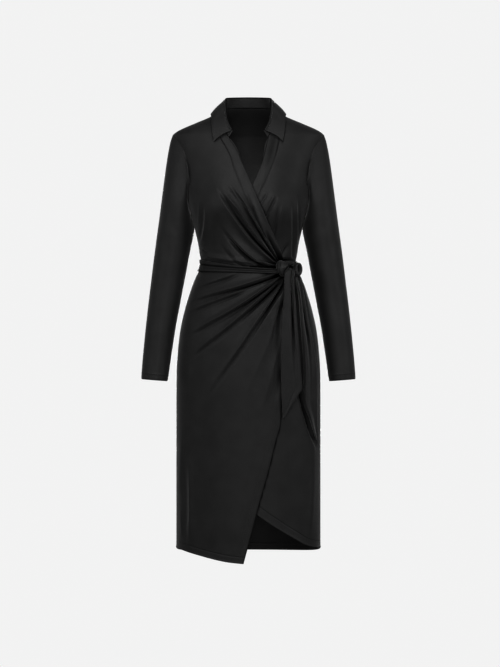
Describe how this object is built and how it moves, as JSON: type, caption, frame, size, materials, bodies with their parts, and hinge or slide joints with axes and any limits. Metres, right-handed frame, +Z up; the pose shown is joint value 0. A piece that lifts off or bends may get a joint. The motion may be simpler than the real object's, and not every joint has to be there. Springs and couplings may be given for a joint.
{
  "type": "wrap dress",
  "caption": "Knee-length wrap dress with a shirt collar, long set-in sleeves, a gathered wrap front and a sash tied beside the waist.",
  "frame": {"origin": "middle of the line between the two shoulder points, where the wearer's shoulders hold the dress up", "axes": "+Z up, from hem to collar; +X toward the wearer's left; the front of the dress faces -Y"},
  "size_m": [0.534, 0.2514, 1.1622],
  "materials": {
    "jersey": "soft black knitted jersey, matt",
    "sash_jersey": "the same black jersey, two layers"
  },
  "bodies": {
    "root": {"right_front_bodice": "jersey", "left_front_bodice": "jersey", "back_bodice": "jersey", "right_front_skirt": "jersey", "left_front_skirt": "jersey", "back_skirt": "jersey", "right_sleeve": "jersey", "left_sleeve": "jersey", "collar": "jersey", "right_front_facing": "jersey", "left_front_facing": "jersey", "sash": "sash_jersey", "sash_knot": "sash_jersey", "sash_loop": "sash_jersey", "sash_tail_front": "sash_jersey", "sash_tail_side": "sash_jersey"}
  },
  "joints": []
}
